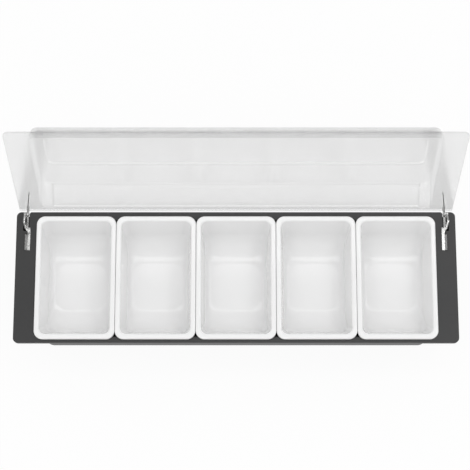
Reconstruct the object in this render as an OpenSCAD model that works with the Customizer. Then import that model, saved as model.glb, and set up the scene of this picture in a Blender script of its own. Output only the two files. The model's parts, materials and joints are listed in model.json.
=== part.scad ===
// Condiment caddy: a tray with five lift-out cups under one hinged, domed lid.
// X runs along the tray, -Y is the front, +Z is up.
// The origin is the middle of the flat underside of the tray.
// The lid is drawn open, leaning back on its stops.

/* [Inserts] */
// Width of one insert over its rim
insert_w = 90.2; // [70:0.2:110]
// Length of one insert over its rim, front to back
insert_d = 140.5; // [110:0.5:180]
// Depth of the cavity, from the top of the rim to the floor
insert_depth = 62; // [45:1:66]
// Thickness of the walls and the floor
insert_wall = 1.8; // [1.2:0.1:2.6]
// Width of the rolled rim, from outer edge to opening
insert_rim_w = 5.6; // [5:0.1:7.5]
// Height of the rolled rim above the tray
insert_rim_h = 5.5; // [4.5:0.1:8]
// Corner radius of the rim in plan
insert_corner_r = 9.5; // [7:0.5:14]
// How far each end wall leans in from top to floor
insert_end_draft = 12; // [4:0.5:16]
// How far each side wall leans in from top to floor
insert_side_draft = 4; // [2:0.5:8]
// Radius of the scoop between end wall and floor
insert_end_scoop = 26; // [10:1:30]
// Radius between side wall and floor
insert_side_scoop = 7; // [4:0.5:12]
// Gap between the rims of neighbouring inserts
insert_gap = 0.3; // [0.2:0.1:2]

/* [Tray] */
// Height of the flange above the table
base_h = 76; // [72:1:110]
// Flange left bare beyond the row of inserts at each end
end_flange = 23.7; // [21:0.1:40]
// Flange left bare behind the inserts
rear_flange = 6; // [5:0.1:12]
// Flange left bare in front of the inserts
front_flange = 3.5; // [2:0.1:12]
// Thickness of flange and walls
base_wall = 2.5; // [2:0.1:3.5]
// Thickness of the tray's floor
base_floor = 3; // [2:0.1:5]
// Corner radius of the flange
base_corner_r = 5.5; // [3:0.5:6]
// Height of the turned-down edge of the flange
base_lip_h = 7; // [4:0.5:14]
// Width of flange under each insert's rim
rim_ledge = 3.5; // [2.5:0.1:3.6]
// How far each wall of the tub leans in from top to bottom
tub_draft = 3; // [1:0.5:4]

/* [Lid] */
// Length of the lid, from hinged edge to free edge
lid_len = 151; // [130:1:190]
// Thickness of the lid
lid_t = 2.5; // [2:0.1:3]
// How far the lid stays inside each end of the tray
lid_end_inset = 3; // [1:0.5:6]
// How far the hinged edge of the closed lid stays in front of the tray's rear edge
lid_rear_inset = 1.5; // [1:0.1:2.2]
// Gap between the closed lid and the rims of the inserts
lid_gap = 0.3; // [0.2:0.1:1]
// Corner radius at the free edge
lid_corner_r = 7; // [4:0.5:12]
// Height of the dome over the underside of the lid
dome_h = 15; // [10:0.5:30]
// Flat border of the lid at each end
dome_end_border = 25; // [23:0.5:45]
// Flat border of the lid along its free edge
dome_front_border = 6; // [4:0.5:20]
// Length of the slope at the back of the dome
dome_slope = 36; // [20:1:50]
// Height of the raised panels
panel_h = 1.2; // [0.6:0.1:2]
// Bare margin of the dome beside the raised panels
panel_margin = 12; // [6:0.5:25]
// Length of the panel on top of the dome
panel_len = 52; // [30:1:60]
// How far the lid opens from closed
open_angle = 109.2; // [100:0.1:112]

/* [Hinges] */
// Distance from the tray's end to the notch
notch_inset = 7.8; // [7:0.1:10]
// Width of the notch
notch_w = 6.8; // [6.8:0.1:8]
// Depth of the notch from the rear edge
notch_d = 22; // [21:0.5:26]
// Depth of the well under the notch
well_d = 17.5; // [17.5:0.5:30]
// Radius of the hinge pin
pin_r = 1.25; // [1:0.05:1.5]
// Gap between pin and knuckle, all round
pin_fit = 0.05; // [0.02:0.01:0.1]
// Metal round the pin
eye_wall = 1.15; // [0.8:0.05:1.2]
// Distance of the pin in front of the rear edge
pin_setback = 2.6; // [2.5:0.1:3.2]
// Height of the pin above the flange
pin_rise = 0.6; // [0.2:0.1:1]
// Width of the bracket's arm
arm_w = 2.5; // [2:0.1:2.6]
// Width of the knuckle and its tail
knuckle_w = 2.7; // [2.6:0.1:2.8]
// Sideways gap between arm and knuckle
hinge_play = 0.3; // [0.2:0.05:0.4]
// Length of the bracket's foot on the flange
foot_len = 24; // [18:1:40]
// Thickness of the sheet steel
sheet_t = 1; // [0.8:0.1:1.4]
// Thickness of the leaf that passes through the lid
leaf_t = 1.6; // [1.2:0.1:1.9]
// Length of the leaf's tab in the lid
tab_len = 17; // [12:1:24]
// Radius of the rivets' shanks
rivet_r = 0.8; // [0.6:0.05:0.9]

/* [Hidden] */
$fn = 48;

INSERTS = 5;
// Steps in each rounded corner of a lofted shell
CORNER_STEPS = 5;

tray_color = "#4b4b4d";
insert_color = "#f4f4f2";
lid_color = [0.88, 0.9, 0.92, 0.6];
steel_color = "#b9bbbd";

// Inserts
pitch = insert_w + insert_gap;
opening_r = insert_corner_r - 2.5;
row_w = INSERTS * pitch - insert_gap;

// Tray
base_w = row_w + 2 * end_flange;
base_d = rear_flange + insert_d + front_flange;
rear_y = base_d / 2;
insert_y = rear_y - rear_flange - insert_d / 2;
mouth_w = row_w - 2 * rim_ledge;
mouth_d = insert_d - 2 * rim_ledge;
mouth_r = insert_corner_r - rim_ledge / 2;
edge_r = 0.8;

// Lid, in its closed place: hinged edge and underside
lid_w = base_w - 2 * lid_end_inset;
lid_y = rear_y - lid_rear_inset;
lid_z = base_h + insert_rim_h + lid_gap;
dome_start = 3;
dome_end = lid_len - dome_front_border;
dome_top_start = dome_start + dome_slope;
dome_w = lid_w - 2 * dome_end_border;
dome_side_draft = 3;
dome_front_draft = 2;
dome_r = 8;
dome_top = dome_h - panel_h;
slope_rise = (dome_top - lid_t) / dome_slope;
// Thickness of the slope, measured straight up
slope_t = lid_t * sqrt(1 + slope_rise * slope_rise);
panel_w = dome_w - 2 * dome_side_draft - 2 * panel_margin;
panel_front = 15;

// Hinge pin
pin_y = rear_y - pin_setback;
pin_z = base_h + pin_rise;
eye_r = pin_r + eye_wall;

// Sideways places of the right hinge, from the middle of the tray
notch_out = base_w / 2 - notch_inset;
notch_in = notch_out - notch_w;
arm_out = notch_out - hinge_play;
arm_in = arm_out - arm_w;
knuckle_out = arm_in - hinge_play;
knuckle_in = knuckle_out - knuckle_w;
pin_head_t = 0.5;
pin_head_gap = 0.15;

// Bracket
foot_in = notch_in - 1.6;
foot_w = 5.7;
strip_w = 2.4;
plate_w = strip_w + 0.8;
tab_w = 4.3;
tab_taper = 7;
tab_y = notch_d - 3.4;
leg_start = tab_y + tab_taper + 1;
leg_t = 0.9;
foot_end = tab_y + foot_len + 2;
bracket_h = insert_rim_h + lid_gap - 1.8;
arm_t = 1.4;
arm_kink = 12;
arm_shift = 0.5;
arm_end = 3;
rivet_u = foot_in + 1.3;
rivet_start = tab_taper + 1.9;
rivet_margin = 5;
head_lap = 0.7;
rivet_head_t = 0.8;
washer_t = 0.8;
washer_w = 1.6;

// Leaf
leaf_slant = 9.5;
leaf_h = 3;
hook_t = 3;
hook_gap = 0.4;
hook_len = 2;
neck = 1.2;
tail_t = 2;
tail_tip_t = 1.2;
tab_start = 14;
leaf_end = tab_start + tab_len + 3;
slot_fit = 0.1;

// One level of a lofted shell: height, width, front and rear edge, front and rear corner radius
function level(z, w, y0, y1, r0, r1) = [z, w, y0, y1, r0, r1];

function corner(cx, cy, r, start) =
    [for (i = [0 : CORNER_STEPS])
        let (a = start + 90 * i / CORNER_STEPS)
        [cx + r * cos(a), cy + r * sin(a)]];

function ring(s) =
    let (x = s[1] / 2)
    concat(corner(x - s[5], s[3] - s[5], s[5], 0),
           corner(s[5] - x, s[3] - s[5], s[5], 90),
           corner(s[4] - x, s[2] + s[4], s[4], 180),
           corner(x - s[4], s[2] + s[4], s[4], 270));

// Closed shell through a list of levels. The first level is closed downwards, the last one upwards.
module loft(levels) {
    n = 4 * (CORNER_STEPS + 1);
    points = [for (s = levels) for (p = ring(s)) [p[0], p[1], s[0]]];
    sides = [for (k = [0 : len(levels) - 2])
                for (i = [0 : n - 1])
                    let (a = k * n + i, b = k * n + (i + 1) % n)
                    each [[a, a + n, b + n], [a, b + n, b]]];
    last = (len(levels) - 1) * n;
    caps = [[for (i = [0 : n - 1]) i], [for (i = [n - 1 : -1 : 0]) last + i]];
    polyhedron(points = points, faces = concat(caps, sides), convexity = 6);
}

module at_rear_rim() {
    translate([0, rear_y, base_h]) children();
}

// Draws in the right place on the right; the left one is its mirror image
module on_left() {
    mirror([1, 0, 0]) children();
}

// Extrudes a side view, drawn with its X forwards and its Y up, across the tray
module side_view(from, to) {
    translate([from, 0, 0])
        rotate([90, 0, 90])
            linear_extrude(to - from)
                mirror([1, 0]) children();
}

// Inserts

// How far the wall of the cavity is in from the opening at a height above the floor
function wall_inset(k, draft, scoop) =
    draft * (1 - k / insert_depth)
    + (k < scoop ? scoop - sqrt(scoop * scoop - (scoop - k) * (scoop - k)) : 0);

function scoop_heights(scoop) =
    [for (i = [0 : 6]) scoop * (1 - cos(15 * i))];

// Level of the cavity at height k above its floor, grown by g
function cavity_level(k, g) =
    let (floor_z = base_h + insert_rim_h - insert_depth,
         side = wall_inset(k, insert_side_draft, insert_side_scoop),
         end = wall_inset(k, insert_end_draft, insert_end_scoop),
         w = insert_w - 2 * insert_rim_w - 2 * side + 2 * g,
         half = insert_d / 2 - insert_rim_w - end + g,
         r = opening_r + side * 0.7 + g)
    level(floor_z + k, w, -half, half, r, r);

function rim_level(z, inset) =
    let (half = insert_d / 2 - inset, r = insert_corner_r - inset)
    level(base_h + z, insert_w - 2 * inset, -half, half, r, r);

module insert(index) {
    x = (index - (INSERTS + 1) / 2) * pitch;
    rim_r = 1.6;
    skirt_t = 1.8;
    rim_under = insert_rim_h - insert_wall;
    body_top = insert_depth - insert_wall - 0.4;
    outer = [for (k = scoop_heights(insert_end_scoop)) cavity_level(k, insert_wall)];
    inner = [for (k = scoop_heights(insert_end_scoop)) cavity_level(k, 0)];
    lowered = [for (s = outer) level(s[0] - insert_wall, s[1], s[2], s[3], s[4], s[5])];
    color(insert_color)
        translate([x, insert_y, 0])
            loft(concat(
                lowered,
                [let (s = cavity_level(body_top, insert_wall))
                    level(base_h + rim_under, s[1], s[2], s[3], s[4], s[5])],
                [rim_level(rim_under, skirt_t),
                 rim_level(0, skirt_t),
                 rim_level(0, 0)],
                [for (a = [0 : 30 : 90])
                    rim_level(insert_rim_h - rim_r * (1 - sin(a)), rim_r * (1 - cos(a)))],
                [for (a = [0 : 30 : 60])
                    let (drop = rim_r * (1 - cos(a)), s = cavity_level(insert_depth - drop, 0),
                         g = rim_r * (1 - sin(a)))
                    level(s[0], s[1] + 2 * g, s[2] - g, s[3] + g, s[4] + g, s[5] + g)],
                [cavity_level(insert_depth - rim_r, 0)],
                [for (i = [6 : -1 : 0]) inner[i]]));
}

module insert_1() { insert(1); }
module insert_2() { insert(2); }
module insert_3() { insert(3); }
module insert_4() { insert(4); }
module insert_5() { insert(5); }

// Tray

module tray_shell() {
    function flange(z, g) =
        level(z, base_w - 2 * g, -rear_y + g, rear_y - g, base_corner_r - g, base_corner_r - g);
    function tub(z, g) =
        let (lean = tub_draft * (1 - z / base_h),
             half = mouth_d / 2 + g - lean, r = mouth_r + g)
        level(z, mouth_w + 2 * g - 2 * lean, insert_y - half, insert_y + half, r, r);
    foot_r = 2;
    floor_r = 4;
    loft(concat(
        [for (a = [0 : 30 : 90])
            tub(foot_r * (1 - cos(a)), base_wall - foot_r * (1 - sin(a)))],
        [tub(base_h - base_wall, base_wall),
         flange(base_h - base_wall, base_wall),
         flange(base_h - base_lip_h, base_wall),
         flange(base_h - base_lip_h, 0)],
        [for (a = [0 : 30 : 90])
            flange(base_h - edge_r * (1 - sin(a)), edge_r * (1 - cos(a)))],
        [for (a = [0 : 30 : 90])
            let (drop = edge_r * (1 - cos(a)), g = edge_r * (1 - sin(a)))
            tub(base_h - drop, g)],
        [tub(base_floor + floor_r, 0)],
        [for (a = [30 : 30 : 90])
            tub(base_floor + floor_r * (1 - sin(a)), -floor_r * (1 - cos(a)))]));
}

// Opens the rear edge and the well under it, with a rounded inner corner at the edge
module notch() {
    corner_r = 3;
    at_rear_rim() {
        translate([notch_in, -notch_d, -well_d]) cube([notch_w, notch_d + 1, well_d + 1]);
        translate([0, 0, -base_lip_h - 1])
            linear_extrude(base_lip_h + 2)
                difference() {
                    translate([notch_in - corner_r, -corner_r]) square(corner_r + 1);
                    translate([notch_in - corner_r, -corner_r]) circle(corner_r);
                    translate([notch_in - corner_r - 1, -corner_r - 1]) square([1, corner_r + 3]);
                }
    }
}

// Box under the flange, open to the rear once the notch is cut, in which the tail swings down
module well() {
    at_rear_rim()
        translate([notch_in - base_wall, -notch_d - base_wall, -well_d - base_wall])
            cube([notch_w + 2 * base_wall, notch_d + base_wall / 2, well_d + base_wall / 2]);
}

function rivet_places() = [tab_y + rivet_start, foot_end - rivet_margin];

module rivet_holes() {
    at_rear_rim()
        for (v = rivet_places())
            translate([rivet_u, -v, -base_wall - 1]) cylinder(h = base_wall + 2, r = rivet_r);
}

module base_tray() {
    color(tray_color)
        difference() {
            union() {
                tray_shell();
                well();
                on_left() well();
            }
            notch();
            on_left() notch();
            rivet_holes();
            on_left() rivet_holes();
        }
}

// Lid, drawn closed about its hinged edge: -Y towards the free edge

module in_open_place() {
    translate([0, pin_y, pin_z])
        rotate([-open_angle, 0, 0])
            translate([0, lid_y - pin_y, lid_z - pin_z]) children();
}

module lid_shell() {
    function border(h) =
        level(h, lid_w, -lid_len, 0, lid_corner_r, 2);
    function dome(h, w, from, to, r) = level(h, w, -to, -from, r, r);
    // Thickness of the dome's steep walls, measured level
    wall = lid_t * 0.95;
    rise = dome_top - lid_t;
    // Share of the rise at which the dome's rounded top edge starts
    shoulder = 0.9;
    edge = 1.25;
    step = 1;
    top_w = dome_w - 2 * dome_side_draft;
    top_end = dome_end - dome_front_draft;
    panel_end = top_end - panel_front;
    panel_start = panel_end - panel_len;
    loft([
        dome(dome_h - lid_t, panel_w - 2 * step, panel_start + step, panel_end - step, dome_r - step),
        dome(dome_top - lid_t, panel_w, panel_start, panel_end, dome_r),
        dome(dome_top - lid_t, top_w - 2 * wall - 2 * step,
             dome_top_start + 2 * step, top_end - wall - step, dome_r - wall),
        dome(dome_top - lid_t - step, top_w - 2 * wall,
             dome_top_start + (slope_t - lid_t - step) / slope_rise, top_end - wall,
             dome_r - wall + step),
        dome(0, dome_w - 2 * wall, dome_start + (slope_t - lid_t) / slope_rise, dome_end - wall,
             dome_r - wall + step),
        border(0),
        border(lid_t),
        dome(lid_t, dome_w, dome_start, dome_end, dome_r + step),
        dome(lid_t + rise * shoulder, dome_w - 2 * dome_side_draft * shoulder,
             dome_start + dome_slope * shoulder, dome_end - dome_front_draft * shoulder, dome_r + step),
        dome(dome_top, top_w - 2 * edge, dome_top_start + edge, top_end - edge, dome_r),
        dome(dome_top, panel_w + 2 * step, panel_start - step, panel_end + step, dome_r + step),
        dome(dome_h, panel_w, panel_start, panel_end, dome_r)
    ]);
}

// Raised panel on the slope at the back of the dome: side view of its step, for one face of the shell
module slope_panel(drop, inset) {
    function face(q) = lid_t + (q - dome_start) * slope_rise - drop;
    from = dome_start + 1 + inset;
    to = dome_top_start - 2 - inset;
    side_view(inset - panel_w / 2, panel_w / 2 - inset)
        polygon([[from, face(from) - panel_h], [to, face(to) - panel_h],
                 [to - 1, face(to - 1) + panel_h], [from + 1, face(from + 1) + panel_h]]);
}

// The slots that the leaves pass through, and the slanted line that they follow
module on_leaf_line() {
    translate([knuckle_out - leaf_t / 2 - 0.2, 0, 0]) rotate([0, 0, -leaf_slant]) children();
}

module lid() {
    color(lid_color)
        in_open_place()
            difference() {
                union() {
                    lid_shell();
                    slope_panel(0, 0);
                }
                slope_panel(slope_t, 1);
                leaf_slot();
                on_left() leaf_slot();
            }
}

module leaf_slot() {
    on_leaf_line()
        translate([-leaf_t / 2 - slot_fit, -tab_start - tab_len - slot_fit, -1])
            cube([leaf_t + 2 * slot_fit, tab_len + 2 * slot_fit, lid_t + 2]);
}

// Leaf: hook round the edge of the lid, slanted blade on its outside, tab in its slot, and tail

module hinge_leaf() {
    q = pin_setback - lid_rear_inset;
    h = pin_z - lid_z;
    top = lid_t + leaf_h;
    inner = -hook_gap;
    outer = inner - hook_t;
    color(steel_color)
        in_open_place() {
            difference() {
                union() {
                    side_view(knuckle_in, knuckle_out) {
                        translate([q, h]) circle(eye_r);
                        polygon([[q - neck, h - neck], [q + neck, h + neck / 2],
                                 [q + neck, h + eye_r * 0.9], [inner, -neck], [inner, lid_t],
                                 [hook_len, lid_t], [hook_len, top],
                                 [outer + hook_t / 2, top], [outer, top - hook_t / 2], [outer, h + neck]]);
                    }
                    tail(q, h);
                }
                side_view(knuckle_in - 1, knuckle_out + 1)
                    translate([q, h]) circle(pin_r + pin_fit);
            }
            blade(top - hook_gap);
        }
}

// Blade of the leaf, standing on the outside of the lid, with the tab that fills the slot
module blade(top) {
    tip_t = leaf_h / 3;
    on_leaf_line()
        side_view(-leaf_t / 2, leaf_t / 2)
            polygon([[hook_len / 4, lid_t], [tab_start, lid_t], [tab_start, 0],
                     [tab_start + tab_len, 0], [tab_start + tab_len, lid_t],
                     [leaf_end, lid_t], [leaf_end, lid_t + tip_t], [leaf_end - 2 * tip_t, top],
                     [hook_len / 4, top]]);
}

// Tail of the leaf, drawn as it lies with the lid open, from the pin to its tip under the bracket
module tail(q, h) {
    low = -pin_rise - tail_tip_t - hook_gap;
    tip = tab_y + neck / 2 - pin_setback;
    step = tab_y - 3 * hook_gap - pin_setback;
    root = eye_r * 0.4;
    side_view(knuckle_in, knuckle_out)
        translate([q, h])
            rotate(-open_angle)
                polygon([[root, 0], [step, low + tail_t], [step + hook_gap, low + tail_tip_t],
                         [tip, low + tail_tip_t], [tip, low], [root, -tail_t]]);
}

// Bracket

module hinge_bracket() {
    top = bracket_h;
    color(steel_color)
        at_rear_rim()
            difference() {
                union() {
                    foot_plate();
                    sloped_leg(foot_in + strip_w, top);
                    arm(top);
                    eye_lug();
                }
                translate([arm_in - 1, -pin_setback, pin_rise])
                    rotate([0, 90, 0]) cylinder(h = arm_w + 2, r = pin_r);
                for (v = rivet_places())
                    translate([rivet_u, -v, -1]) cylinder(h = sheet_t + 2, r = rivet_r);
            }
}

// Plate on the flange, with a tab that narrows forwards
module foot_plate() {
    linear_extrude(sheet_t)
        polygon([[foot_in, -tab_y], [foot_in + tab_w, -tab_y], [foot_in + plate_w, -tab_y - tab_taper],
                 [foot_in + plate_w, -foot_end], [foot_in, -foot_end]]);
}

// Outer side of the bracket, bent up and outwards
module sloped_leg(u, top) {
    out = foot_in + foot_w;
    translate([0, -leg_start, 0])
        rotate([90, 0, 0])
            linear_extrude(foot_end - leg_start)
                polygon([[u, 0], [u + leg_t, 0], [out + leg_t / 2, top - leg_t], [out - leg_t / 4, top],
                         [u, sheet_t]]);
}

// Arm from the tab back to the eye: it rises to a kink and falls to the pin
module arm(top) {
    near = tab_y + sheet_t;
    side = foot_in + tab_w;
    intersection() {
        linear_extrude(top + 1)
            polygon([[arm_in, -pin_setback], [arm_out, -pin_setback], [arm_out + arm_shift, -arm_kink],
                     [side + arm_w * 0.9, -near], [side, -near - arm_end],
                     [side - 2 * sheet_t, -near - arm_end], [side, -near],
                     [arm_in + arm_shift, -arm_kink]]);
        side_view(foot_in, arm_out + arm_shift + 1)
            polygon([[pin_setback, pin_rise + eye_r], [pin_setback, pin_rise],
                     [pin_setback + eye_r, pin_rise], [arm_kink, top - arm_t], [near, sheet_t / 5],
                     [near + arm_end, sheet_t / 5], [near + arm_end, sheet_t * 1.2],
                     [near, sheet_t / 5 + arm_t], [arm_kink, top]]);
    }
}

module eye_lug() {
    side_view(arm_in, arm_out)
        translate([pin_setback, pin_rise]) circle(eye_r);
}

// Pin, with a head on its inner end

module hinge_pin() {
    head_r = pin_r + head_lap;
    color(steel_color)
        translate([knuckle_in - pin_head_gap - pin_head_t, pin_y, pin_z])
            rotate([0, 90, 0]) {
                cylinder(h = pin_head_t, r = head_r);
                cylinder(h = arm_out - knuckle_in + pin_head_gap + pin_head_t, r = pin_r);
            }
}

// Rivets, flush on top, with a formed head under the washers

module bracket_rivets() {
    length = sheet_t + base_wall + washer_t + rivet_head_t;
    color(steel_color)
        at_rear_rim()
            for (v = rivet_places())
                translate([rivet_u, -v, sheet_t - length]) {
                    cylinder(h = length, r = rivet_r);
                    cylinder(h = rivet_head_t, r = rivet_r + head_lap);
                }
}

module rivet_washers() {
    color(steel_color)
        at_rear_rim()
            for (v = rivet_places())
                translate([rivet_u, -v, -base_wall - washer_t])
                    difference() {
                        cylinder(h = washer_t, r = rivet_r + washer_w);
                        translate([0, 0, -1]) cylinder(h = washer_t + 2, r = rivet_r);
                    }
}

module hinge_bracket_right() { hinge_bracket(); }
module hinge_bracket_left() { on_left() hinge_bracket(); }
module hinge_leaf_right() { hinge_leaf(); }
module hinge_leaf_left() { on_left() hinge_leaf(); }
module hinge_pin_right() { hinge_pin(); }
module hinge_pin_left() { on_left() hinge_pin(); }
module bracket_rivets_right() { bracket_rivets(); }
module bracket_rivets_left() { on_left() bracket_rivets(); }
module rivet_washers_right() { rivet_washers(); }
module rivet_washers_left() { on_left() rivet_washers(); }

base_tray();
insert_1();
insert_2();
insert_3();
insert_4();
insert_5();
lid();
hinge_bracket_left();
hinge_bracket_right();
hinge_leaf_left();
hinge_leaf_right();
hinge_pin_left();
hinge_pin_right();
bracket_rivets_left();
bracket_rivets_right();
rivet_washers_left();
rivet_washers_right();
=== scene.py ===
import json
import math
from collections import namedtuple

import bmesh
import bpy
from mathutils import Matrix, Vector


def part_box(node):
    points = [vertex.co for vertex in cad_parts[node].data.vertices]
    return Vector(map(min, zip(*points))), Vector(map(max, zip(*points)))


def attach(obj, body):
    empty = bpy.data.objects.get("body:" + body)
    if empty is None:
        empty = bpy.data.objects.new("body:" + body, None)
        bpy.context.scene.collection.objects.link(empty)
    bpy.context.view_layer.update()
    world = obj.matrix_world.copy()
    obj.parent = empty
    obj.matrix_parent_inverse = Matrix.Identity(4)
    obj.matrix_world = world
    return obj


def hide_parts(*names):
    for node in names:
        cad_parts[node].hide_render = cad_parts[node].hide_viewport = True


# The caddy's looks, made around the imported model.
# X runs along the tray, -Y is the front, +Z is up. All sizes are in metres.
# A cutter runs 1 to 5 mm past what it cuts. A test of where a face or an edge lies has some room
# too, so a bare MM in a cutter or in a test is no size of the caddy.

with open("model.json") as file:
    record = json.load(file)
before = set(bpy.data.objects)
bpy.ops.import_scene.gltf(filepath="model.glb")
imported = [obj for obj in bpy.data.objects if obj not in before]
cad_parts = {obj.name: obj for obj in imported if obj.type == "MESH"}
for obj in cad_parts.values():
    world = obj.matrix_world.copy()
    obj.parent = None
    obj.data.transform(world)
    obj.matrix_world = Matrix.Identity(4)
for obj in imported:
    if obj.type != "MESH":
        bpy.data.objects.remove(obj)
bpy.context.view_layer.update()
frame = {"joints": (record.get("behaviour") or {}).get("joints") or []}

MM = 0.001
CORNER_STEPS = 9  # faces round each corner of a swept ring
ROUND_STEPS = 6  # faces across a rounded edge
EDGE_STEPS = 4  # faces across the small rounded edges of the flange
SCOOP_STEPS = 14  # faces from an insert's floor up its scooped ends
PIN_SIDES = 40
EYE_SIDES = 48
RIVET_SIDES = 32

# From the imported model
hinge_joint = next(j for j in frame["joints"] if j["type"] == "hinge")
PIN = Vector(hinge_joint["pos_m"])
OPEN_ANGLE = math.radians(-min(hinge_joint["range_deg"]))

tray_lo, tray_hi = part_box("base_tray")
FRONT_Y, REAR_Y = tray_lo.y, tray_hi.y
BASE_H = tray_hi.z
BASE_HALF = tray_hi.x

insert_lo, insert_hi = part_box("insert_3")
INSERTS = ["insert_1", "insert_2", "insert_3", "insert_4", "insert_5"]
RIM_HALF = insert_hi.x
RIM_FRONT, RIM_REAR = insert_lo.y, insert_hi.y
RIM_TOP = insert_hi.z
ROW_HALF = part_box("insert_5")[1].x

# Tray
WALL = 2.5 * MM
FLOOR_T = 3 * MM
FLANGE_R = 5.5 * MM
LIP_H = 7 * MM
EDGE_R = 0.8 * MM
LEDGE = 3.5 * MM  # how far the flange reaches in under the rims
TUB_R = 7.5 * MM
TUB_LEAN = 3 * MM
FOOT_R = 2 * MM
FLOOR_R = 4 * MM
FLANGE_FILLET = 1 * MM
TRAY_EDGE = 0.35 * MM
NOTCH_OUT = BASE_HALF - 7.8 * MM
NOTCH_IN = NOTCH_OUT - 6.8 * MM
NOTCH_D = 22 * MM
NOTCH_R = 1 * MM
NOTCH_MOUTH_R = 3 * MM
WELL_D = 17.5 * MM
WELL_R = 2 * MM

# Inserts
DEPTH = 62 * MM
SKIN = 1.8 * MM
RIM_W = 5.6 * MM
RIM_R = 1.6 * MM
RIM_CORNER = 9.5 * MM
RIM_CHAMFER = 0.2 * MM
NECK_H = 0.4 * MM  # the outside of the wall runs straight this far under the rim
MOUTH_R = RIM_CORNER - 2.5 * MM
MOUTH_SPREAD = 0.7  # how much the corners widen for each millimetre that the side walls come in
END_DRAFT = 12 * MM
SIDE_DRAFT = 4 * MM
END_SCOOP = 26 * MM
SIDE_SCOOP = 7 * MM

# Lid, as it lies closed: q runs forwards from its hinged edge, h up from its underside
LID_Y = REAR_Y - 1.5 * MM
LID_Z = RIM_TOP + 0.3 * MM
LID_HALF = BASE_HALF - 3 * MM
LID_LEN = 151 * MM
LID_T = 2.5 * MM
LID_CORNER = 7 * MM
LID_REAR_CORNER = 2 * MM
DOME_H = 15 * MM
DOME_START = 3 * MM
DOME_END = 145 * MM
SLOPE_LEN = 36 * MM
DOME_HALF = LID_HALF - 25 * MM
DOME_R = 8 * MM
SIDE_LEAN = 3 * MM
FRONT_LEAN = 2 * MM
PANEL_H = 1.2 * MM
PANEL_STEP = 1.5 * MM  # width of the slanted edge round the top panel
PANEL_MARGIN = 12 * MM
PANEL_LEN = 52 * MM
PANEL_FRONT = 15 * MM
SLOPE_MARGIN = 1.5 * MM  # between the slope's edges and its panel
LID_EDGE = 0.5 * MM

# Hinges, on the right: u runs outwards, v forwards from the rear edge, w up from the flange
ARM_W = 2.5 * MM
ARM_OUT = NOTCH_OUT - 0.3 * MM
ARM_IN = ARM_OUT - ARM_W
KNUCKLE_OUT = ARM_IN - 0.3 * MM
KNUCKLE_IN = KNUCKLE_OUT - 2.7 * MM
FOOT_IN = NOTCH_IN - 1.6 * MM
FOOT_END = 44.6 * MM
STRIP_W = 2.4 * MM
PLATE_W = 3.2 * MM
SHEET_T = 1 * MM
TAB_W = 4.3 * MM
TAB_V = 18.6 * MM
TAB_TAPER = 7 * MM
TAB_RISE = 0.8 * MM
LEG_V = TAB_V + TAB_TAPER + MM
LEG_TOP = FOOT_IN + 5.7 * MM
LEG_H = 2.6 * MM
LEG_T = 0.9 * MM
BRACKET_EDGE = 0.15 * MM
ARM_EDGE = 0.3 * MM
EYE_R = 2.4 * MM
EYE_EDGE = 0.25 * MM
PIN_R = 1.25 * MM
PIN_FIT = 0.05 * MM
PIN_EDGE = 0.15 * MM
PIN_HEAD_R = PIN_R + 0.7 * MM
PIN_HEAD_T = 0.5 * MM
PIN_HEAD_DOME = 0.35 * MM
HOOK_H = 3 * MM  # above the lid's sheet
HOOK_OUT = -3.4 * MM  # its faces along q, behind the lid's edge
HOOK_IN = -0.4 * MM
HOOK_CHAMFER = 1.5 * MM
FINGER_END = 2 * MM
HEEL_TOP = -1.5 * MM
HEEL_LOW = 1.6 * MM  # below the pin
LEAF_T = 1.3 * MM
LEAF_H = 2.6 * MM
LEAF_EDGE = 0.2 * MM
LEAF_SLANT = math.radians(9.5)
LEAF_U = KNUCKLE_OUT - LEAF_T / 2 - 0.2 * MM
SLOT_START = 14 * MM
SLOT_END = SLOT_START + 17 * MM
SLOT_FIT = 0.1 * MM
BLADE_START = 0.5 * MM
BLADE_END = SLOT_END + 3 * MM
TAIL_LOW = 2.2 * MM  # below the pin
TAIL_PAST = 0.6 * MM  # how far the tail reaches under the bracket's tab
TAIL_STEP = 1.2 * MM  # how far before the tab it steps down
RIVET_R = 0.8 * MM
RIVET_HEAD_R = RIVET_R + 0.7 * MM
RIVET_HEAD_H = 0.8 * MM
RIVET_U = FOOT_IN + 1.3 * MM
RIVET_HEAD_DOME = 0.5 * MM
RIVET_EDGE = 0.12 * MM
RIVET_PLACES = (27.5 * MM, 39.6 * MM)
WASHER_T = 0.8 * MM
WASHER_R = RIVET_R + 1.6 * MM

# Camera, solved back from the photo's outlines of the tray, the inserts and the lid
CAMERA_PLACE = (-0.00113, -0.2975, 1.6487)
CAMERA_WAY = (0, 0.2147, -0.9767)
SENSOR_WIDTH = 36  # mm
FOCAL_LENGTH = 108.54  # mm

# Studio: strengths from 0 to 1, with 1 for the white of the photo's background
FLOOR_SIZE = 8
FLOOR_GLOW = 0.92  # the camera sees this share of the floor as plain white, the rest takes shadow
SURROUND = 0.74  # how strongly the surround lights the caddy
CEILING = 0.38  # what glossy faces mirror of the surround overhead
HORIZON = (0.05, 0.3)  # Z of the mirrored directions between which white dims to CEILING
LAMP_Z = 1.75
# Name, place along X and Y, size along X and Y, and power in watts
SOFTBOXES = [
    ("softbox_main", (-0.1, -0.43), (1.2, 0.6), 4.5),
    ("softbox_rear", (0, 0.48), (1.3, 0.26), 2.0),
    ("softbox_right", (0.72, 0.3), (0.3, 0.5), 2.6),
]

# Sockets of a Mix node, which has a pair of inputs and a result for each type of data
FACTOR = 0
NUMBER_A, NUMBER_B, NUMBER_RESULT = 2, 3, 0
COLOUR_A, COLOUR_B, COLOUR_RESULT = 6, 7, 2

Ring = namedtuple("Ring", "z half front rear r_front r_rear")
Station = namedtuple("Station", "v u w wide thick")


# Tools for modelling

def deselect():
    bpy.ops.object.select_all(action="DESELECT")


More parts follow.
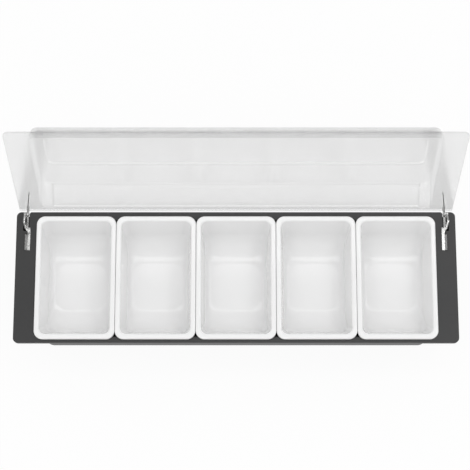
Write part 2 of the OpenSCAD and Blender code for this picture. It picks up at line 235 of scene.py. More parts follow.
def placed(name, size, place):
    """Names the primitive that was just added, and gives it its size and place in its mesh."""
    piece = bpy.context.active_object
    piece.name = name
    piece.data.name = name
    piece.scale = size
    piece.location = place
    bpy.ops.object.transform_apply(location=True, rotation=True, scale=True)
    return piece


def active(piece):
    """Makes a piece the only selected one."""
    deselect()
    bpy.context.view_layer.objects.active = piece
    piece.select_set(True)


def edit(piece):
    """Opens a piece for editing, with nothing selected. done() closes it."""
    active(piece)
    bpy.ops.object.mode_set(mode="EDIT")
    bpy.ops.mesh.select_mode(type="VERT")
    bpy.ops.mesh.select_all(action="DESELECT")


def done():
    bpy.ops.object.mode_set(mode="OBJECT")


def choose_verts(piece, indices):
    """Selects the vertices with these numbers, and the edges and faces between them."""
    bpy.ops.mesh.select_all(action="DESELECT")
    bm = bmesh.from_edit_mesh(piece.data)
    bm.verts.ensure_lookup_table()
    for i in indices:
        bm.verts[i].select = True
    bm.select_flush(True)
    bmesh.update_edit_mesh(piece.data)


def chosen_verts(piece):
    return [v.index for v in bmesh.from_edit_mesh(piece.data).verts if v.select]


def choose_faces(piece, test):
    """Selects the faces whose middle and normal pass the test."""
    bpy.ops.mesh.select_all(action="DESELECT")
    bm = bmesh.from_edit_mesh(piece.data)
    for face in bm.faces:
        if test(face.calc_center_median(), face.normal):
            face.select_set(True)
    bmesh.update_edit_mesh(piece.data)


def choose_edges(piece, test):
    """Selects the edges whose two ends pass the test."""
    bpy.ops.mesh.select_all(action="DESELECT")
    bm = bmesh.from_edit_mesh(piece.data)
    for edge in bm.edges:
        if test(edge.verts[0].co, edge.verts[1].co):
            edge.select_set(True)
    bmesh.update_edit_mesh(piece.data)


def outward(piece):
    """Turns all faces outwards."""
    edit(piece)
    bpy.ops.mesh.select_all(action="SELECT")
    bpy.ops.mesh.normals_make_consistent(inside=False)
    done()


def modify(piece, kind, **settings):
    """Adds a modifier with its settings and applies it."""
    active(piece)
    modifier = piece.modifiers.new(kind.lower(), kind)
    for name, value in settings.items():
        setattr(modifier, name, value)
    bpy.ops.object.modifier_apply(modifier=modifier.name)


def soften(piece, width, segments=2, angle=30):
    """Rounds the edges that are sharper than an angle in degrees."""
    modify(piece, "BEVEL", width=width, segments=segments, limit_method="ANGLE",
           angle_limit=math.radians(angle), harden_normals=False)


def cut(piece, *cutters):
    """Takes the cutters out of a piece, and removes them."""
    for cutter in cutters:
        modify(piece, "BOOLEAN", operation="DIFFERENCE", object=cutter, solver="EXACT")
        bpy.data.objects.remove(cutter)


def unite(piece, *others):
    """Adds the others to a piece, as one solid."""
    for other in others:
        modify(piece, "BOOLEAN", operation="UNION", object=other, solver="EXACT")
        bpy.data.objects.remove(other)


def smooth(piece, angle=32):
    """Shades a piece smooth across edges that are flatter than an angle in degrees."""
    active(piece)
    bpy.ops.object.shade_smooth_by_angle(angle=math.radians(angle))
    modify(piece, "WEIGHTED_NORMAL", keep_sharp=True)


def block(name, lo, hi):
    """A box between two corners, ready to be shaped."""
    deselect()
    bpy.ops.mesh.primitive_cube_add(size=1)
    lo, hi = Vector(lo), Vector(hi)
    return placed(name, hi - lo, (lo + hi) / 2)


def rod(name, x0, x1, y, z, radius, sides=PIN_SIDES):
    """A round bar along X."""
    deselect()
    bpy.ops.mesh.primitive_cylinder_add(vertices=sides, radius=1, depth=1,
                                        rotation=(0, math.radians(90), 0))
    bpy.ops.object.transform_apply(location=False, rotation=True, scale=False)
    return placed(name, (x1 - x0, radius, radius), ((x0 + x1) / 2, y, z))


def post(name, x, y, z0, z1, radius, sides=RIVET_SIDES):
    """A round bar that stands up."""
    deselect()
    bpy.ops.mesh.primitive_cylinder_add(vertices=sides, radius=1, depth=1)
    return placed(name, (radius, radius, z1 - z0), (x, y, (z0 + z1) / 2))


def trim(piece, point, outside):
    """Cuts away what lies on the outside of a plane, and closes the cut."""
    edit(piece)
    bpy.ops.mesh.select_all(action="SELECT")
    bpy.ops.mesh.bisect(plane_co=point, plane_no=outside, use_fill=True, clear_outer=True)
    done()


def moved(piece, matrix):
    """Moves or turns a piece, and leaves its place in its mesh."""
    active(piece)
    piece.matrix_world = matrix
    bpy.ops.object.transform_apply(location=True, rotation=True, scale=True)
    return piece


def turned(piece, point, angle, axis):
    """Turns a piece about a line through a point along X, Y or Z."""
    return moved(piece, Matrix.Translation(point) @ Matrix.Rotation(angle, 4, axis)
                 @ Matrix.Translation(-point))


def copied(piece, name, matrix):
    """A copy with its own mesh, moved by the matrix."""
    twin = piece.copy()
    twin.data = piece.data.copy()
    twin.name = name
    twin.data.name = name
    bpy.context.scene.collection.objects.link(twin)
    return moved(twin, matrix)


def mirrored(piece, name):
    """The left twin of a right-hand piece."""
    twin = copied(piece, name, Matrix.Scale(-1, 4, (1, 0, 0)))
    outward(twin)
    return twin


def quarter_round(radius, steps=ROUND_STEPS):
    """Points of a quarter circle: how far each lies from its first side, and from its second."""
    angles = [math.radians(90 * i / steps) for i in range(steps + 1)]
    return [(radius * (1 - math.cos(a)), radius * (1 - math.sin(a))) for a in angles]


# Rounded rectangles swept through rings

def round_corners(piece, ring):
    """Gives the corners of the selected face their true radii."""
    indices = chosen_verts(piece)
    bm = bmesh.from_edit_mesh(piece.data)
    bm.verts.ensure_lookup_table()
    middle = (ring.front + ring.rear) / 2
    places = {i: bm.verts[i].co.copy() for i in indices}
    for side in (-1, 1):
        for y, radius in ((ring.front, ring.r_front), (ring.rear, ring.r_rear)):
            group = [i for i in indices
                     if places[i].x * side > 0 and (places[i].y - middle) * (y - middle) > 0]
            wide = max(ring.half - abs(places[i].x) for i in group)
            deep = max(abs(y - places[i].y) for i in group)
            choose_verts(piece, group)
            bpy.ops.transform.resize(value=(radius / wide, radius / deep, 1),
                                     center_override=(side * ring.half, y, ring.z))
    choose_verts(piece, indices)


def swept(name, rings, closed=True):
    """Takes one rounded face through its rings, by extruding and resizing it each time.

    A closed sweep is a solid. One that isn't closed is a single sheet.
    """
    first = rings[0]
    deselect()
    bpy.ops.mesh.primitive_plane_add(size=1)
    piece = placed(name, (2 * first.half, first.rear - first.front, 1),
                   (0, (first.front + first.rear) / 2, first.z))
    edit(piece)
    bpy.ops.mesh.select_all(action="SELECT")
    bpy.ops.mesh.bevel(offset=first.r_front, segments=CORNER_STEPS, affect="VERTICES")
    bpy.ops.mesh.select_all(action="SELECT")
    round_corners(piece, first)
    for was, ring in zip(rings, rings[1:]):
        shift = (ring.front + ring.rear - was.front - was.rear) / 2
        if closed:
            bpy.ops.mesh.extrude_region_move(
                TRANSFORM_OT_translate={"value": (0, shift, ring.z - was.z)})
        else:
            bpy.ops.mesh.inset(thickness=0, depth=0)
            bpy.ops.transform.translate(value=(0, shift, ring.z - was.z))
        bpy.ops.transform.resize(
            value=(ring.half / was.half, (ring.rear - ring.front) / (was.rear - was.front), 1),
            center_override=(0, (ring.front + ring.rear) / 2, ring.z))
        round_corners(piece, ring)
    done()
    if closed:
        outward(piece)
    return piece


# Tray: one moulding, a tub hung from a flat flange with a turned-down edge

def tub(z, grow):
    """Ring of the tub at a height: its inside, or its outside with a growth."""
    lean = TUB_LEAN * (1 - z / BASE_H)
    reach = grow - lean - LEDGE
    radius = TUB_R + grow
    return Ring(z, ROW_HALF + reach, RIM_FRONT - reach, RIM_REAR + reach, radius, radius)


def flange(z, inset):
    """Ring of the flange at a height, with an inset from its outline."""
    return Ring(z, BASE_HALF - inset, FRONT_Y + inset, REAR_Y - inset,
                FLANGE_R - inset, FLANGE_R - inset)


def notch_cutter():
    """What the notch takes out of the rear edge and the well, with its rounded inner corner."""
    low, high = BASE_H - LIP_H - 2 * MM, BASE_H + 2 * MM
    cutter = block("notch", (NOTCH_IN, REAR_Y - NOTCH_D, BASE_H - WELL_D),
                   (NOTCH_OUT, REAR_Y + 5 * MM, high))
    edit(cutter)
    choose_edges(cutter, lambda a, b: abs(a.z - b.z) > MM and a.y < REAR_Y - MM)
    bpy.ops.mesh.bevel(offset=NOTCH_R, segments=4)
    done()
    heel_x, heel_y = NOTCH_IN - NOTCH_MOUTH_R, REAR_Y - NOTCH_MOUTH_R
    flare = block("flare", (heel_x, heel_y, low), (NOTCH_IN + MM, REAR_Y + 4 * MM, high))
    cut(flare, post("heel", heel_x, heel_y, low - MM, high + MM, NOTCH_MOUTH_R, sides=48))
    unite(cutter, flare)
    return cutter


def make_well():
    """The pocket under the notch that the tail swings down in, open to the rear once it is cut."""
    low, front = BASE_H - WELL_D, REAR_Y - NOTCH_D
    well = block("well", (NOTCH_IN - WALL, front - WALL, low - WALL),
                 (NOTCH_OUT + WALL, REAR_Y - WALL / 2, BASE_H - WALL / 2))
    edit(well)
    choose_edges(well, lambda a, b: max(a.y, b.y) < REAR_Y - WALL and min(a.z, b.z) < low)
    bpy.ops.mesh.bevel(offset=WELL_R, segments=4)
    done()
    return well


def make_tray():
    """The tub and the flange in one sweep, then the wells, the notches and the rivet holes."""
    under = BASE_H - WALL
    # Up the outside of the tub
    rings = [tub(up, WALL - back) for up, back in quarter_round(FOOT_R)]
    rings += [tub(under - FLANGE_FILLET, WALL), tub(under, WALL + FLANGE_FILLET)]
    # Out under the flange and down the inside of its lip
    rings += [flange(under, WALL + FLANGE_FILLET), flange(under - FLANGE_FILLET, WALL)]
    rings += [flange(BASE_H - LIP_H, WALL), flange(BASE_H - LIP_H, 0)]
    # Up the lip, in over the flange, and down the inside of the tub
    rings += [flange(BASE_H - down, inset) for inset, down in quarter_round(EDGE_R, EDGE_STEPS)]
    rings += [tub(BASE_H - down, out) for down, out in quarter_round(EDGE_R, EDGE_STEPS)]
    rings += [tub(FLOOR_T + up, -inset) for inset, up in quarter_round(FLOOR_R)]
    tray = swept("tray_moulding", rings)
    well, cutter = make_well(), notch_cutter()
    unite(tray, mirrored(well, "well_left"), well)
    cut(tray, mirrored(cutter, "notch_left"), cutter)
    for side in (-1, 1):
        for v in RIVET_PLACES:
            cut(tray, post("rivet_hole", side * RIVET_U, REAR_Y - v,
                           BASE_H - 2 * WALL, BASE_H + WALL, RIVET_R, sides=24))
    soften(tray, TRAY_EDGE, angle=50)
    smooth(tray)
    return tray


# Inserts: one moulded cup, copied along the row

def cavity(k, grow):
    """Ring of the cavity at a height above its floor, or of the cup's outside with a growth."""
    def scooped(draft, scoop):
        """How far a wall has come in at this height, by its draft and the scoop at its foot."""
        curl = scoop - math.sqrt(scoop ** 2 - (scoop - k) ** 2) if k < scoop else 0
        return draft * (1 - k / DEPTH) + curl
    side = scooped(SIDE_DRAFT, SIDE_SCOOP)
    end = RIM_W + scooped(END_DRAFT, END_SCOOP) - grow
    radius = MOUTH_R + side * MOUTH_SPREAD + grow
    return Ring(RIM_TOP - DEPTH + k, RIM_HALF - RIM_W - side + grow,
                RIM_FRONT + end, RIM_REAR - end, radius, radius)


def rim(z, inset):
    """Ring of the rim at a height, with an inset from its outline."""
    return Ring(z, RIM_HALF - inset, RIM_FRONT + inset, RIM_REAR - inset,
                RIM_CORNER - inset, RIM_CORNER - inset)


def lowered(ring, drop):
    return ring._replace(z=ring.z - drop)


def grown(ring, by):
    return ring._replace(half=ring.half + by, front=ring.front - by, rear=ring.rear + by,
                         r_front=ring.r_front + by, r_rear=ring.r_rear + by)


def make_insert():
    """The middle cup, with a rolled rim and long scoops between its end walls and its floor."""
    heights = [k for k, _ in quarter_round(END_SCOOP, SCOOP_STEPS)]
    under_rim = RIM_TOP - SKIN
    # Up the outside of the cup
    rings = [lowered(cavity(k, SKIN), SKIN) for k in heights]
    rings += [cavity(DEPTH - SKIN - NECK_H, SKIN)._replace(z=under_rim)]
    # Down the inside of the rolled edge, round its foot, and over the rim into the cavity
    rings += [rim(under_rim, SKIN)]
    rings += [rim(BASE_H + RIM_CHAMFER, SKIN), rim(BASE_H, SKIN - RIM_CHAMFER)]
    rings += [rim(BASE_H, RIM_CHAMFER), rim(BASE_H + RIM_CHAMFER, 0)]
    rings += [rim(RIM_TOP - down, inset) for inset, down in quarter_round(RIM_R)]
    rings += [grown(cavity(DEPTH - down, 0), out) for down, out in quarter_round(RIM_R)]
    rings += [cavity(k, 0) for k in reversed(heights)]
    cup = swept("cup", rings)
    smooth(cup, angle=40)
    return cup


# Lid: one moulded sheet with a dome, a panel on its top and a panel on its slope

def sheet_ring(h, half, q_from, q_to, radius, rear_radius=None):
    """Ring of the closed lid's sheet, from its coordinates q and h."""
    return Ring(LID_Z + h, half, LID_Y - q_to, LID_Y - q_from, radius,
                radius if rear_radius is None else rear_radius)


def turned_open(piece):
    """Turns what was modelled closed about the pin, to the open lid's place."""
    return turned(piece, PIN, -OPEN_ANGLE, "X")


def leaf_bar(name, q0, q1, h0, h1, grow=0):
    """A straight bar on the slanted line of the leaf, which starts at the lid's hinged edge."""
    bar = block(name, (LEAF_U - LEAF_T / 2 - grow, LID_Y - q1 - grow, LID_Z + h0),
                (LEAF_U + LEAF_T / 2 + grow, LID_Y - q0 + grow, LID_Z + h1))
    return turned(bar, Vector((LEAF_U, LID_Y, 0)), -LEAF_SLANT, "Z")


def make_lid():
    """The sheet's outer face in one sweep, with its panels, then its thickness and its slots."""
    top = DOME_H - PANEL_H
    rise = top - LID_T
    top_half = DOME_HALF - SIDE_LEAN
    top_end = DOME_END - FRONT_LEAN
    panel_half = top_half - PANEL_MARGIN
    panel_end = top_end - PANEL_FRONT
    panel_start = panel_end - PANEL_LEN
    slope_end = DOME_START + SLOPE_LEN
    lid = swept("lid_sheet", [
        sheet_ring(LID_T, LID_HALF, 0, LID_LEN, LID_CORNER, LID_REAR_CORNER),
        sheet_ring(LID_T, DOME_HALF, DOME_START, DOME_END, DOME_R + MM),
        sheet_ring(top, top_half, slope_end, top_end, DOME_R),
        sheet_ring(top, panel_half + PANEL_STEP, panel_start - PANEL_STEP, panel_end + PANEL_STEP,
                   DOME_R + MM),
        sheet_ring(DOME_H, panel_half, panel_start, panel_end, DOME_R),
    ], closed=False)
    # The panel on the slope starts as an inset of the slope's middle face, which is then made
    # as wide as the top panel.
    edit(lid)
    slope_normal = Vector((0, rise, SLOPE_LEN)).normalized()
    choose_faces(lid, lambda middle, normal: normal.dot(slope_normal) > 0.999
                 and abs(middle.x) < MM)
    bpy.ops.mesh.inset(thickness=SLOPE_MARGIN, depth=0)
    middle_q = DOME_START + SLOPE_LEN / 2
    inset_half = DOME_HALF - DOME_R - (MM + SIDE_LEAN) / 2 - SLOPE_MARGIN
    wide = (panel_half + MM) / inset_half
    bpy.ops.transform.resize(value=(wide, 1, 1),
                             center_override=(0, LID_Y - middle_q, LID_Z + LID_T + rise / 2))
    bpy.ops.mesh.inset(thickness=MM, depth=PANEL_H)
    done()
    modify(lid, "SOLIDIFY", thickness=LID_T, offset=-1, use_even_offset=True)
    slot = leaf_bar("slot", SLOT_START, SLOT_END, -LID_T, 2 * LID_T, grow=SLOT_FIT)
    cut(lid, mirrored(slot, "slot_left"), slot)
    soften(lid, LID_EDGE, segments=3, angle=14)
    smooth(lid, angle=40)
    return turned_open(lid)


# Hinges
# Parts that are united differ by a few hundredths of a millimetre in width and place, so that
# no two of their faces lie in one plane.

def make_leaf():
    """Knuckle, hook round the edge of the lid, blade and tab in one piece, and the tail."""
    def bit(name, q0, q1, h0, h1, inset):
        """A part of the hook, as wide as the knuckle less an inset on each side."""
        return block(name, (KNUCKLE_IN + inset, LID_Y - q1, LID_Z + h0),
                     (KNUCKLE_OUT - inset, LID_Y - q0, LID_Z + h1))
    pin_q, pin_h = LID_Y - PIN.y, PIN.z - LID_Z
    top = LID_T + HOOK_H
    # The riser stands behind the lid's edge, the finger reaches over it, and the heel leads
    # down from the riser to the knuckle.
    riser = bit("riser", HOOK_OUT, HOOK_IN, pin_h + 0.6 * MM, top, 0)
    trim(riser, (0, LID_Y - HOOK_OUT, LID_Z + top - HOOK_CHAMFER), (0, 1, 1))
    finger = bit("finger", HOOK_IN - 0.8 * MM, FINGER_END, LID_T, top - 0.05 * MM, 0.03 * MM)
    heel = bit("heel", HOOK_OUT + 0.05 * MM, pin_q + MM, pin_h - HEEL_LOW, HEEL_TOP, 0.06 * MM)
    trim(heel, (0, LID_Y - HOOK_OUT, PIN.z + 1.2 * MM), (0, 1, -0.9))
    trim(heel, (0, LID_Y + 0.2 * MM, LID_Z + HEEL_TOP), (0, -1, 0.9))
    # The blade stands on the lid, and the tab goes down from it through the slot.
    blade = leaf_bar("blade", BLADE_START, BLADE_END, LID_T + 0.02 * MM, LID_T + LEAF_H)
    trim(blade, (0, LID_Y - BLADE_END + 0.6 * MM, LID_Z + LID_T + MM), (0, -1, 1))
    tab = leaf_bar("tab", SLOT_START, SLOT_END, 0, LID_T + MM, grow=-0.08 * MM)
    for part in (riser, finger, heel, blade, tab):
        soften(part, LEAF_EDGE)
    unite(riser, finger, heel, blade, tab)
    leaf = turned_open(riser)
    knuckle = rod("knuckle", KNUCKLE_IN - 0.02 * MM, KNUCKLE_OUT + 0.02 * MM, PIN.y, PIN.z,
                  EYE_R, EYE_SIDES)
    soften(knuckle, EYE_EDGE)
    unite(leaf, knuckle, make_tail())
    cut(leaf, rod("bore", KNUCKLE_IN - MM, KNUCKLE_OUT + MM, PIN.y, PIN.z, PIN_R + PIN_FIT))
    smooth(leaf)
    return leaf


def make_tail():
    """The flat tail from the knuckle to under the tab, stepped down at its end."""
    root, tab_y = PIN.y - 0.9 * MM, REAR_Y - TAB_V
    tip = tab_y - TAIL_PAST
    inset = 0.04 * MM
    tail = block("tail", (KNUCKLE_IN + inset, tip, PIN.z - TAIL_LOW),
                 (KNUCKLE_OUT - inset, root, PIN.z))
    # Its top slopes down from the tip to the knuckle.
    trim(tail, (0, tip, PIN.z - 0.1 * MM), (0, 0.12, 1))
    step = block("step", (KNUCKLE_IN - MM, tip - MM, PIN.z - MM),
                 (KNUCKLE_OUT + MM, tab_y + TAIL_STEP, PIN.z + 3 * MM))
    cut(tail, step)
    soften(tail, LEAF_EDGE)
    return tail


def at(u, v, w):
    """A place on the hinge: across the tray, forwards from its rear edge, up from its flange."""
    return Vector((u, REAR_Y - v, BASE_H + w))


def make_bracket():
    """A bent strip: foot and tab on the flange, a leg folded up and outwards, an arm, an eye."""
    foot = block("foot", at(FOOT_IN, FOOT_END, 0),
                 at(FOOT_IN + PLATE_W, TAB_V + TAB_TAPER, SHEET_T))
    edit(foot)
    choose_faces(foot, lambda middle, normal: normal.y > 0.9)
    bpy.ops.mesh.extrude_region_move(TRANSFORM_OT_translate={"value": (0, TAB_TAPER, 0)})
    # The tab widens outwards, and its rear edge is bent up over the tip of the tail.
    corner = at(FOOT_IN + PLATE_W, TAB_V, 0)
    near_x, near_y = corner.x - 0.1 * MM, corner.y - 0.1 * MM
    choose_edges(foot, lambda a, b: min(a.x, b.x) > near_x and min(a.y, b.y) > near_y)
    bpy.ops.transform.translate(value=(TAB_W - PLATE_W, 0, 0))
    choose_edges(foot, lambda a, b: min(a.y, b.y) > near_y)
    bpy.ops.transform.translate(value=(0, 0, TAB_RISE))
    done()
    soften(foot, BRACKET_EDGE)
    # The leg leans outwards, and its top edge is bevelled on its outer side.
    leg_u = FOOT_IN + STRIP_W
    leg = block("leg", at(leg_u, FOOT_END + 0.03 * MM, 0.02 * MM),
                at(leg_u + LEG_T, LEG_V, LEG_H))
    edit(leg)
    choose_edges(leg, lambda a, b: min(a.z, b.z) > BASE_H + MM)
    bpy.ops.transform.translate(value=(LEG_TOP - LEG_T / 4 - leg_u, 0, 0))
    choose_edges(leg, lambda a, b: min(a.z, b.z) > BASE_H + MM and min(a.x, b.x) > LEG_TOP)
    bpy.ops.transform.translate(value=(-LEG_T / 4, 0, -LEG_T))
    done()
    soften(leg, BRACKET_EDGE)
    arm = make_arm()
    eye = rod("eye", ARM_IN, ARM_OUT, PIN.y, PIN.z, EYE_R, EYE_SIDES)
    soften(eye, EYE_EDGE)
    unite(foot, leg, arm, eye)
    cut(foot, rod("eye_hole", ARM_IN - MM, ARM_OUT + MM, PIN.y, PIN.z, PIN_R))
    for v in RIVET_PLACES:
        cut(foot, post("hole", RIVET_U, REAR_Y - v, BASE_H - MM, BASE_H + 2 * MM, RIVET_R))
    smooth(foot)
    return foot


def make_arm():
    """The arm is extruded from its rear end face, station by station, from the eye to the leg."""
    overlap = Vector((0, 0.5 * MM, 0))
    middle, side = (ARM_IN + ARM_OUT) / 2 / MM, (FOOT_IN + TAB_W) / MM
    # In millimetres: v, u and w of each station, and the strip's width and thickness there
    stations = [
        Station(3.1, middle, 0.9, 2.4, 3.0),
        Station(6.5, middle + 0.2, 2.0, 2.4, 1.9),
        Station(9.5, middle + 0.4, 3.0, 2.4, 1.3),
        Station(12, middle + 0.5, 3.4, 2.4, 1.1),
        Station(14, middle + 0.1, 2.8, 2.4, 1.1),
        Station(19.6, side + 1.1, 0.9, 2.2, 1.2),
        Station(22.4, side - 1, 0.7, 1.9, 1.0),
    ]
    was = stations[0]
    start = at(was.u * MM, was.v * MM, was.w * MM)
    half = Vector((was.wide / 2, 0, was.thick / 2)) * MM
    place = start - overlap
    arm = block("arm", start - half - overlap, start + half)
    edit(arm)
    choose_faces(arm, lambda middle, normal: normal.y < -0.9)
    for station in stations[1:]:
        target = at(station.u * MM, station.v * MM, station.w * MM)
        bpy.ops.mesh.extrude_region_move(TRANSFORM_OT_translate={"value": target - place})
        bpy.ops.transform.resize(value=(station.wide / was.wide, 1, station.thick / was.thick),
                                 center_override=target)
        was, place = station, target
    done()
    outward(arm)
    soften(arm, ARM_EDGE, angle=40)
    return arm


def make_pin():
    """A pin with a low domed head inside, and a small chamfer outside."""
    head_in = KNUCKLE_IN - 0.15 * MM - PIN_HEAD_T
    pin = rod("pin", head_in + PIN_HEAD_T / 2, ARM_OUT, PIN.y, PIN.z, PIN_R)
    soften(pin, PIN_EDGE)
    head = rod("head", head_in, head_in + PIN_HEAD_T, PIN.y, PIN.z, PIN_HEAD_R)
    edit(head)
    choose_edges(head, lambda a, b: max(a.x, b.x) < head_in + 0.01 * MM)
    bpy.ops.mesh.bevel(offset=PIN_HEAD_DOME, segments=4)
    done()
    unite(pin, head)
    smooth(pin)
    return pin


def joined(pieces):
    """Several pieces that don't touch, as one object."""
    active(pieces[0])
    for piece in pieces[1:]:
        piece.select_set(True)
    bpy.ops.object.join()
    smooth(pieces[0])
    return pieces[0]


def make_rivets():
    """Two flush rivets, each with a domed head under its washer."""
    rivets = []
    head_top = BASE_H - WALL - WASHER_T
    head_low = head_top - RIVET_HEAD_H
    for v in RIVET_PLACES:
        shank = post("rivet", RIVET_U, REAR_Y - v, head_top - 0.3 * MM, BASE_H + SHEET_T, RIVET_R)
        soften(shank, RIVET_EDGE)
        head = post("rivet_head", RIVET_U, REAR_Y - v, head_low, head_top, RIVET_HEAD_R)
        edit(head)
        choose_edges(head, lambda a, b: max(a.z, b.z) < head_low + 0.1 * MM)
        bpy.ops.mesh.bevel(offset=RIVET_HEAD_DOME, segments=4)
        done()
        unite(shank, head)
        rivets.append(shank)
    return joined(rivets)


def make_washers():
    """Two washers under the flange, one for each rivet."""
    washers = []
    top = BASE_H - WALL
    for v in RIVET_PLACES:
        washer = post("washer", RIVET_U, REAR_Y - v, top - WASHER_T, top, WASHER_R, sides=36)
        cut(washer, post("hole", RIVET_U, REAR_Y - v, top - 2 * MM, top + MM, RIVET_R))
        soften(washer, RIVET_EDGE)
        washers.append(washer)
    return joined(washers)


# Materials

def linear(colour):
    """An sRGB hex colour as linear RGBA."""
    parts = [int(colour[i:i + 2], 16) / 255 for i in (0, 2, 4)]
    return tuple(c / 12.92 if c <= 0.04045 else ((c + 0.055) / 1.055) ** 2.4
                 for c in parts) + (1,)


def add(tree, kind, inputs=None, **settings):
    """Adds a node with its settings, and sets or links its inputs."""
    node = tree.nodes.new(kind)
    for name, value in settings.items():
        setattr(node, name, value)
    for socket, value in (inputs or {}).items():
        if isinstance(value, bpy.types.NodeSocket):
            tree.links.new(value, node.inputs[socket])
        else:
            node.inputs[socket].default_value = value
    return node


def new_material(name):
    """A material and its node tree, which has no nodes yet."""
    material = bpy.data.materials.new(name)
    material.use_nodes = True
    material.node_tree.nodes.clear()
    return material, material.node_tree


def on_piece(tree):
    """The place on the piece, for a pattern to follow."""
    return add(tree, "ShaderNodeTexCoord").outputs["Object"]


def finish_material(material, surface, volume=None):
    """Links a surface, and a volume if there is one, to the material's output."""
    inputs = {"Surface": surface}
    if volume:
        inputs["Volume"] = volume
    add(material.node_tree, "ShaderNodeOutputMaterial", inputs)
    return material


def noise(tree, place, apart, detail):
    """A noise pattern whose features are this many millimetres apart."""
    return add(tree, "ShaderNodeTexNoise", {"Vector": place, "Scale": 1 / (apart * MM),
                                            "Detail": detail}).outputs["Fac"]


def varied(tree, pattern, low, high):
    """Takes a pattern's 0 to 1 to the range between two numbers."""
    return add(tree, "ShaderNodeMapRange", {"Value": pattern, "From Min": 0.3, "From Max": 0.7,
                                            "To Min": low, "To Max": high}).outputs["Result"]


def tinted(tree, pattern, one, other):
    """Takes a pattern's 0 to 1 to the range between two colours."""
    return add(tree, "ShaderNodeMix", {FACTOR: pattern, COLOUR_A: linear(one),
                                       COLOUR_B: linear(other)},
               data_type="RGBA").outputs[COLOUR_RESULT]


def bumped(tree, pattern, strength, height):
    """The normal of a surface whose pattern stands this many millimetres high."""
    return add(tree, "ShaderNodeBump", {"Height": pattern, "Strength": strength,
                                        "Distance": height * MM}).outputs["Normal"]


def reckon(tree, operation, *values):
    """The result of a Math node."""
    return add(tree, "ShaderNodeMath", dict(enumerate(values)), operation=operation).outputs[0]


def blend(tree, share, one, other):
    """Two shaders, with the second one's share."""
    return add(tree, "ShaderNodeMixShader", {0: share, 1: one, 2: other}).outputs[0]


def textured_abs():
    """Moulded ABS, charcoal, from a spark-eroded mould: matte, with a fine even grain."""
    material, tree = new_material("moulded_abs_charcoal")
    place = on_piece(tree)
    # The real grain is about 0.1 mm. It is drawn at 0.9 mm, as coarse as it needs to show.
    grain = noise(tree, place, 0.9, 2.0)
    cloud = noise(tree, place, 60, 3.0)
    shader = add(tree, "ShaderNodeBsdfPrincipled", {
        "Base Color": tinted(tree, cloud, "313132", "393939"),
        "Normal": bumped(tree, grain, 0.25, 0.06),
        "Roughness": varied(tree, grain, 0.44, 0.52), "IOR": 1.53, "Specular IOR Level": 0.5})
    return finish_material(material, shader.outputs["BSDF"])


def white_polypropylene():
    """Moulded polypropylene, white: glossy and slightly waxy, with faint flow ripples."""
    material, tree = new_material("moulded_polypropylene_white")
    place = on_piece(tree)
    ripple = noise(tree, place, 22, 2.0)
    fine = noise(tree, place, 2.5, 3.0)
    shader = add(tree, "ShaderNodeBsdfPrincipled", {
        "Base Color": tinted(tree, ripple, "f6f6f6", "f9f9f9"),
        "Normal": bumped(tree, ripple, 0.06, 0.4),
        "Roughness": varied(tree, fine, 0.07, 0.1), "IOR": 1.49,
        "Subsurface Weight": 0.08, "Subsurface Radius": (1.0, 1.0, 1.0),
        "Subsurface Scale": 1.2 * MM})
    return finish_material(material, shader.outputs["BSDF"])


def frosted_polycarbonate():
    """Moulded polycarbonate, clear with a light frost: it dims what is behind it, most of all
    where light runs far through it, and has a gloss that grows at low angles."""
    material, tree = new_material("moulded_polycarbonate_clear")
    place = on_piece(tree)
    frost = noise(tree, place, 5, 3.0)
    haze = add(tree, "ShaderNodeBsdfPrincipled", {
        "Base Color": linear("f8f8f8"), "IOR": 1.585, "Transmission Weight": 1.0,
        "Roughness": varied(tree, frost, 0.16, 0.24)})
    clear = add(tree, "ShaderNodeBsdfTransparent", {"Color": linear("f9f9f9")})
    body = blend(tree, 0.22, clear.outputs["BSDF"], haze.outputs["BSDF"])
    # Schlick's rule: 5% is mirrored straight on, and all of it at a grazing angle.
    facing = add(tree, "ShaderNodeLayerWeight", {"Blend": 0.5}).outputs["Facing"]
    share = reckon(tree, "MULTIPLY_ADD", reckon(tree, "POWER", facing, 5.0), 0.95, 0.05)
    gloss = add(tree, "ShaderNodeBsdfGlossy", {"Color": linear("ffffff"), "Roughness": 0.15})
    depth = add(tree, "ShaderNodeVolumeAbsorption", {"Color": linear("cacbcc"), "Density": 12.0})
    return finish_material(material, blend(tree, share, body, gloss.outputs["BSDF"]),
                           depth.outputs["Volume"])


def satin_steel():
    """Stainless steel strip, ground to a satin: fine lines along it, soft bright streaks."""
    material, tree = new_material("satin_stainless_steel")
    place = on_piece(tree)
    along = add(tree, "ShaderNodeMapping", {"Vector": place, "Scale": (1.0, 0.04, 1.0)})
    # The grinding lines are about 0.05 mm apart. They are drawn at 0.35 mm so that they show.
    lines = noise(tree, along.outputs["Vector"], 0.35, 2.0)
    shader = add(tree, "ShaderNodeBsdfPrincipled", {
        "Base Color": linear("c9c9c8"), "Metallic": 1.0,
        "Normal": bumped(tree, lines, 0.12, 0.03),
        "Roughness": varied(tree, lines, 0.2, 0.3)})
    return finish_material(material, shader.outputs["BSDF"])


# The object

def dress(piece, node, body, material):
    """Gives a piece its name and material, its body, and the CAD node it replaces."""
    piece.name = f"{node}_shape"
    piece.data.materials.clear()
    piece.data.materials.append(material)
    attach(piece, body)
    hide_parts(node)


def dress_pair(right, node, body, material):
    """Makes the left twin of a right-hand piece, and dresses both."""
    dress(mirrored(right, node), f"{node}_left", body, material)
    dress(right, f"{node}_right", body, material)


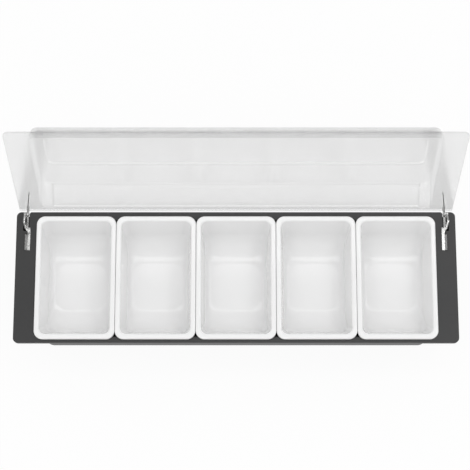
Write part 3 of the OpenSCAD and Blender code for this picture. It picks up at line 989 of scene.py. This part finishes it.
def make_object():
    abs_plastic, polypropylene = textured_abs(), white_polypropylene()
    polycarbonate, steel = frosted_polycarbonate(), satin_steel()
    dress(make_tray(), "base_tray", "tray", abs_plastic)
    cup = make_insert()
    for node in INSERTS:
        lo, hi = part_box(node)
        shift = Matrix.Translation(((lo.x + hi.x) / 2, 0, 0))
        dress(copied(cup, node, shift), node, node, polypropylene)
    bpy.data.objects.remove(cup)
    dress(make_lid(), "lid", "lid", polycarbonate)
    dress_pair(make_leaf(), "hinge_leaf", "lid", steel)
    tray_steel = {"hinge_bracket": make_bracket, "hinge_pin": make_pin,
                  "bracket_rivets": make_rivets, "rivet_washers": make_washers}
    for node, make in tray_steel.items():
        dress_pair(make(), node, "tray", steel)


# The studio: a white floor, a white surround and three soft lights overhead

def shows_white(tree):
    """1 for what the camera sees straight on, in a mirror or through glass, and else 0."""
    ray = add(tree, "ShaderNodeLightPath").outputs
    mirror = reckon(tree, "MAXIMUM", ray["Is Camera Ray"], ray["Is Glossy Ray"])
    return reckon(tree, "MAXIMUM", mirror, ray["Is Transmission Ray"])


def make_floor():
    deselect()
    bpy.ops.mesh.primitive_plane_add(size=1)
    floor = placed("floor", (FLOOR_SIZE, FLOOR_SIZE, 1), (0, 0, 0))
    material, tree = new_material("white_paper")
    paper = add(tree, "ShaderNodeBsdfDiffuse", {"Color": linear("f8f8f8")})
    glow = add(tree, "ShaderNodeEmission", {"Color": linear("ffffff"), "Strength": 1.0})
    share = reckon(tree, "MULTIPLY", shows_white(tree), FLOOR_GLOW)
    surface = blend(tree, share, paper.outputs["BSDF"], glow.outputs["Emission"])
    floor.data.materials.append(finish_material(material, surface))


def make_world():
    """White where the camera or glass shows it. Glossy faces show it white low down, and a dim
    ceiling."""
    world = bpy.data.worlds.new("white_surround")
    world.use_nodes = True
    tree = world.node_tree
    tree.nodes.clear()
    is_glossy = add(tree, "ShaderNodeLightPath").outputs["Is Glossy Ray"]
    way = add(tree, "ShaderNodeTexCoord").outputs["Generated"]
    height = add(tree, "ShaderNodeSeparateXYZ", {"Vector": way}).outputs["Z"]
    mirrored_level = add(tree, "ShaderNodeMapRange", {
        "Value": height, "From Min": HORIZON[0], "From Max": HORIZON[1],
        "To Min": 1.0, "To Max": CEILING}).outputs["Result"]
    shown = add(tree, "ShaderNodeMix", {FACTOR: is_glossy, NUMBER_A: 1.0,
                                        NUMBER_B: mirrored_level}).outputs[NUMBER_RESULT]
    strength = add(tree, "ShaderNodeMix", {FACTOR: shows_white(tree), NUMBER_A: SURROUND,
                                           NUMBER_B: shown}).outputs[NUMBER_RESULT]
    surround = add(tree, "ShaderNodeBackground", {"Color": linear("ffffff"),
                                                  "Strength": strength})
    add(tree, "ShaderNodeOutputWorld", {"Surface": surround.outputs["Background"]})
    bpy.context.scene.world = world


def make_softbox(name, place, size, power):
    """A soft light panel overhead. It isn't turned, so it shines straight down."""
    lamp = bpy.data.lights.new(name, "AREA")
    lamp.shape = "RECTANGLE"
    lamp.size, lamp.size_y = size
    lamp.energy = power
    panel = bpy.data.objects.new(name, lamp)
    bpy.context.scene.collection.objects.link(panel)
    panel.location = (*place, LAMP_Z)


def make_camera():
    data = bpy.data.cameras.new("camera")
    data.sensor_width = SENSOR_WIDTH
    data.lens = FOCAL_LENGTH
    camera = bpy.data.objects.new("camera", data)
    bpy.context.scene.collection.objects.link(camera)
    camera.location = CAMERA_PLACE
    camera.rotation_euler = Vector(CAMERA_WAY).to_track_quat("-Z", "Y").to_euler()
    bpy.context.scene.camera = camera


bpy.context.scene.view_settings.view_transform = "Standard"
make_camera()
make_object()
make_floor()
make_world()
for softbox in SOFTBOXES:
    make_softbox(*softbox)
